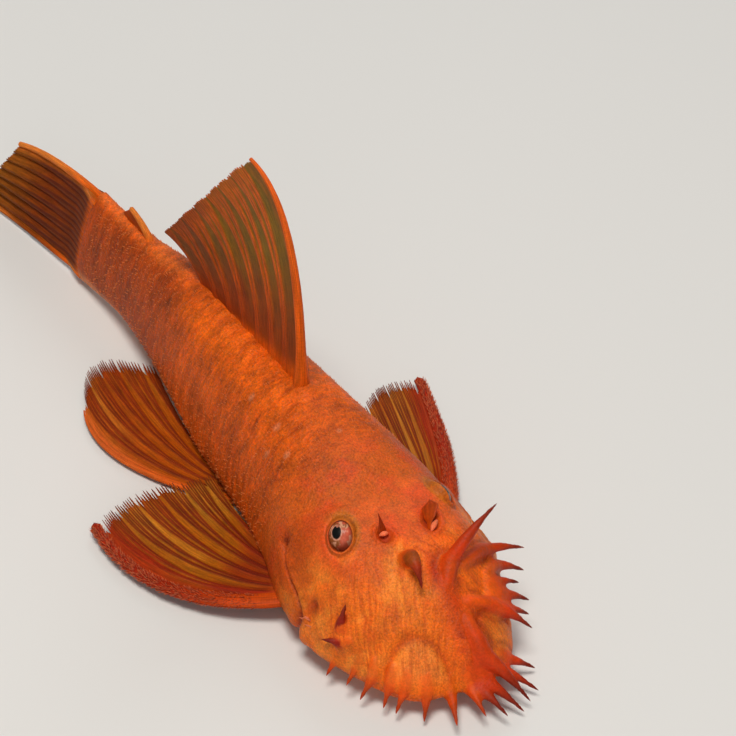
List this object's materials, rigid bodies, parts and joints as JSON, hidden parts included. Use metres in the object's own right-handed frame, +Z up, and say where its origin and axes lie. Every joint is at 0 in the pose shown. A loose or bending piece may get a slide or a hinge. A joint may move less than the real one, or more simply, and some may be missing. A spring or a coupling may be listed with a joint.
{
  "type": "bristlenose pleco",
  "caption": "Life-size bristlenose pleco, an armoured suckermouth catfish with a tentacled snout, resting on its belly with fins spread and tail curved to its right.",
  "frame": {"origin": "on the floor under the middle of the bounding box of the whole fish", "axes": "+X towards the snout, +Y to the fish's left, +Z up from the floor it lies on"},
  "size_m": [0.1222, 0.0528, 0.0464],
  "materials": {
    "skin": "wet satin skin, orange",
    "fin": "wet satin membrane over red-orange rays",
    "lip": "soft matt skin, pale pink-orange",
    "eye": "wet gloss"
  },
  "bodies": {
    "root": {"head": "skin", "mouth": "lip", "trunk": "skin", "tail": "skin", "dorsal_fin": "fin", "adipose_fin": "fin", "caudal_fin": "fin", "anal_fin": "fin", "pectoral_fin_right": "fin", "pectoral_fin_left": "fin", "pelvic_fin_right": "fin", "pelvic_fin_left": "fin", "eye_right": "eye", "eye_left": "eye"}
  },
  "joints": []
}
